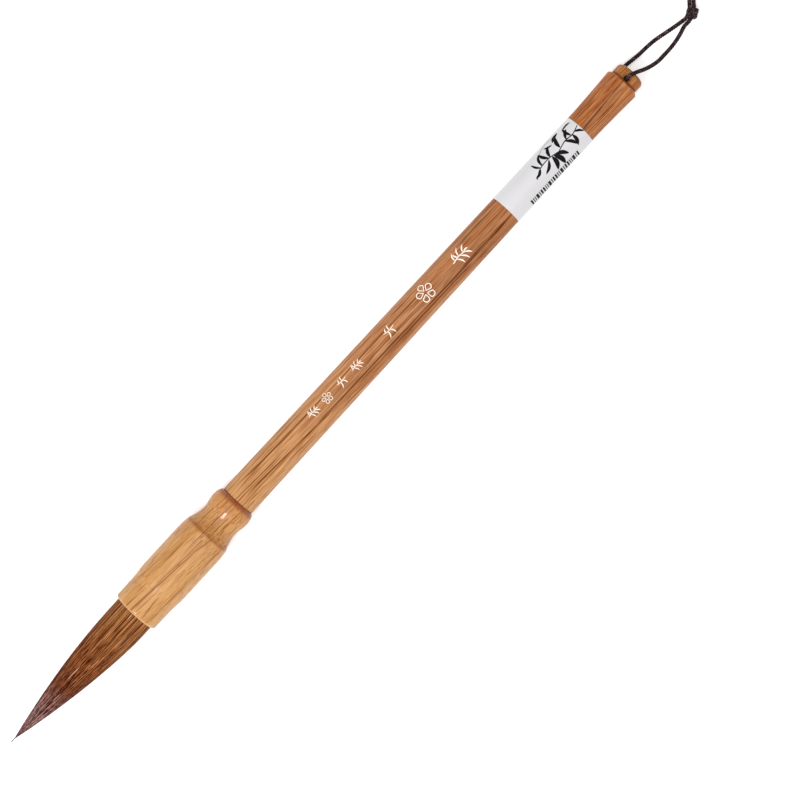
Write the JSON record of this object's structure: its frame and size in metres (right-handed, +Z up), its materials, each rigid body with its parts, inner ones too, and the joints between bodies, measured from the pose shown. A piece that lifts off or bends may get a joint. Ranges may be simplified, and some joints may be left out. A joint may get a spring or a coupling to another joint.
{
  "type": "calligraphy brush",
  "caption": "Large writing brush with a turned wooden handle, a belled head, a pointed tuft of brown hair that bends, and a braided hanging loop through its tail.",
  "frame": {"origin": "on the table, below the middle of the brush without its cord", "axes": "+X along the brush from the tip of the hair to the tail, +Z up from the table, +Y to the left of someone looking from the hair to the tail"},
  "size_m": [0.3449, 0.0225, 0.0163],
  "materials": {
    "shaft_wood": "clear lacquer, satin, fine dark grain",
    "head_wood": "clear lacquer, semi-gloss, fine dark grain",
    "plug_wood": "clear lacquer, satin",
    "label_paper": null,
    "root_glue": "hard clear glue",
    "binding_thread": "waxed thread",
    "core_hair": "straight dark red-brown animal hair",
    "mantle_hair": "straight red-brown animal hair with tan streaks",
    "braided_cord": "round braid, dark brown-black"
  },
  "bodies": {
    "handle": {"shaft": "shaft_wood", "head": "head_wood", "tail_plug": "plug_wood", "label_band": "label_paper", "root_glue": "root_glue", "root_thread": "binding_thread", "hair_core_root": "core_hair", "hair_mantle_root": "mantle_hair"},
    "tuft_belly": {"hair_core_belly": "core_hair", "hair_mantle_belly": "mantle_hair"},
    "tuft_waist": {"hair_core_waist": "core_hair", "hair_mantle_waist": "mantle_hair"},
    "tuft_tip": {"hair_tip": "core_hair"},
    "hanging_loop": {"hanging_cord": "braided_cord", "hanging_eye": "braided_cord", "cord_knot": "braided_cord"}
  },
  "joints": [
    {"name": "belly_bend", "type": "hinge", "parent": "handle", "child": "tuft_belly", "pos_m": [-0.0915, 0, 0.00841], "axis": [0, 0, 1], "range_deg": [-25, 25], "stiffness_Nm_per_rad": 0.02},
    {"name": "waist_bend", "type": "hinge", "parent": "tuft_belly", "child": "tuft_waist", "pos_m": [-0.10849, 0.00036, 0.00859], "axis": [0, 0, 1], "range_deg": [-30, 30]},
    {"name": "tip_bend", "type": "hinge", "parent": "tuft_waist", "child": "tuft_tip", "pos_m": [-0.12349, 0.00067, 0.00875], "axis": [0, 0, 1], "range_deg": [-35, 35]},
    {"name": "loop_swing", "type": "hinge", "parent": "handle", "child": "hanging_loop", "pos_m": [0.13469, 0, 0.00606], "axis": [0, 0, 1], "range_deg": [-45, 45]}
  ],
  "couplings": [
    {"joint": "waist_bend", "follows": "belly_bend", "ratio": 1.2},
    {"joint": "tip_bend", "follows": "belly_bend", "ratio": 1.4}
  ]
}
